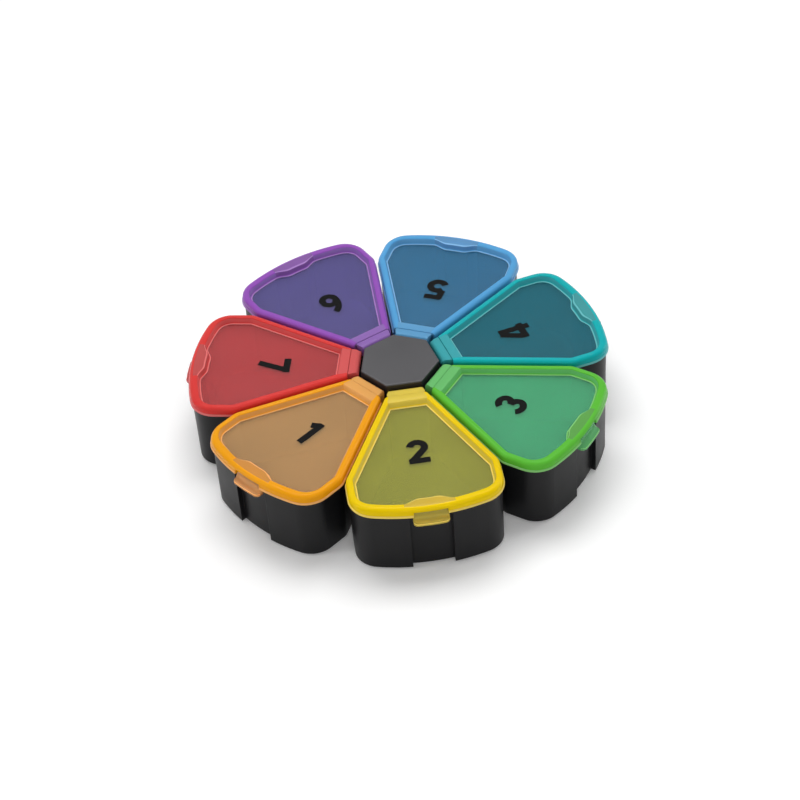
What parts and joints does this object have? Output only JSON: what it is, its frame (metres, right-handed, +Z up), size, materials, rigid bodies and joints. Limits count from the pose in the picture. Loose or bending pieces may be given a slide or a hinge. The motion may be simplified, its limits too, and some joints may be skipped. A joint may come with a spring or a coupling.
{
  "type": "weekly pill box",
  "caption": "Flower-shaped weekly pill box: wedge pods with tinted, tabbed lids hinged at their inner ends plug round a flat-capped central hub.",
  "frame": {"origin": "on the hub's axis, at the surface that the box stands on", "axes": "+Z up along the hub's axis, -Y towards the middle of pod 2; pods are numbered anticlockwise from above"},
  "size_m": [0.1572, 0.156, 0.0303],
  "materials": {
    "pod_plastic": "satin black, moulded",
    "hub_plastic": "satin black, moulded",
    "cap_plastic": "satin dark grey, moulded",
    "pin_metal": "plain drawn wire",
    "lid_1_tint": "clear orange tint, polished rim, faintly frosted window",
    "lid_2_tint": "clear yellow tint, polished rim, faintly frosted window",
    "lid_3_tint": "clear green tint, polished rim, faintly frosted window",
    "lid_4_tint": "clear teal tint, polished rim, faintly frosted window",
    "lid_5_tint": "clear blue tint, polished rim, faintly frosted window",
    "lid_6_tint": "clear purple tint, polished rim, faintly frosted window",
    "lid_7_tint": "clear red tint, polished rim, faintly frosted window"
  },
  "bodies": {
    "hub": {"hub_body": "hub_plastic", "hub_cap": "cap_plastic"},
    "pod_1": {"pod_1": "pod_plastic", "hinge_pin_1": "pin_metal"},
    "lid_1": {"lid_1": "lid_1_tint"},
    "pod_2": {"pod_2": "pod_plastic", "hinge_pin_2": "pin_metal"},
    "lid_2": {"lid_2": "lid_2_tint"},
    "pod_3": {"pod_3": "pod_plastic", "hinge_pin_3": "pin_metal"},
    "lid_3": {"lid_3": "lid_3_tint"},
    "pod_4": {"pod_4": "pod_plastic", "hinge_pin_4": "pin_metal"},
    "lid_4": {"lid_4": "lid_4_tint"},
    "pod_5": {"pod_5": "pod_plastic", "hinge_pin_5": "pin_metal"},
    "lid_5": {"lid_5": "lid_5_tint"},
    "pod_6": {"pod_6": "pod_plastic", "hinge_pin_6": "pin_metal"},
    "lid_6": {"lid_6": "lid_6_tint"},
    "pod_7": {"pod_7": "pod_plastic", "hinge_pin_7": "pin_metal"},
    "lid_7": {"lid_7": "lid_7_tint"}
  },
  "joints": [
    {"name": "pod_1_pull", "type": "slide", "parent": "hub", "child": "pod_1", "axis": [-0.7818, -0.6235, 0], "range_m": [0, 0.055]},
    {"name": "lid_1_hinge", "type": "hinge", "parent": "pod_1", "child": "lid_1", "pos_m": [-0.01337, -0.01066, 0.0268], "axis": [-0.6235, 0.7818, 0], "range_deg": [0, 90]},
    {"name": "pod_2_pull", "type": "slide", "parent": "hub", "child": "pod_2", "axis": [0, -1, 0], "range_m": [0, 0.055]},
    {"name": "lid_2_hinge", "type": "hinge", "parent": "pod_2", "child": "lid_2", "pos_m": [0, -0.0171, 0.0268], "axis": [-1, 0, 0], "range_deg": [0, 90]},
    {"name": "pod_3_pull", "type": "slide", "parent": "hub", "child": "pod_3", "axis": [0.7818, -0.6235, 0], "range_m": [0, 0.055]},
    {"name": "lid_3_hinge", "type": "hinge", "parent": "pod_3", "child": "lid_3", "pos_m": [0.01337, -0.01066, 0.0268], "axis": [-0.6235, -0.7818, 0], "range_deg": [0, 90]},
    {"name": "pod_4_pull", "type": "slide", "parent": "hub", "child": "pod_4", "axis": [0.9749, 0.2225, 0], "range_m": [0, 0.055]},
    {"name": "lid_4_hinge", "type": "hinge", "parent": "pod_4", "child": "lid_4", "pos_m": [0.01667, 0.00381, 0.0268], "axis": [0.2225, -0.9749, 0], "range_deg": [0, 90]},
    {"name": "pod_5_pull", "type": "slide", "parent": "hub", "child": "pod_5", "axis": [0.4339, 0.901, 0], "range_m": [0, 0.055]},
    {"name": "lid_5_hinge", "type": "hinge", "parent": "pod_5", "child": "lid_5", "pos_m": [0.00742, 0.01541, 0.0268], "axis": [0.901, -0.4339, 0], "range_deg": [0, 90]},
    {"name": "pod_6_pull", "type": "slide", "parent": "hub", "child": "pod_6", "axis": [-0.4339, 0.901, 0], "range_m": [0, 0.055]},
    {"name": "lid_6_hinge", "type": "hinge", "parent": "pod_6", "child": "lid_6", "pos_m": [-0.00742, 0.01541, 0.0268], "axis": [0.901, 0.4339, 0], "range_deg": [0, 90]},
    {"name": "pod_7_pull", "type": "slide", "parent": "hub", "child": "pod_7", "axis": [-0.9749, 0.2225, 0], "range_m": [0, 0.055]},
    {"name": "lid_7_hinge", "type": "hinge", "parent": "pod_7", "child": "lid_7", "pos_m": [-0.01667, 0.00381, 0.0268], "axis": [0.2225, 0.9749, 0], "range_deg": [0, 90]}
  ]
}
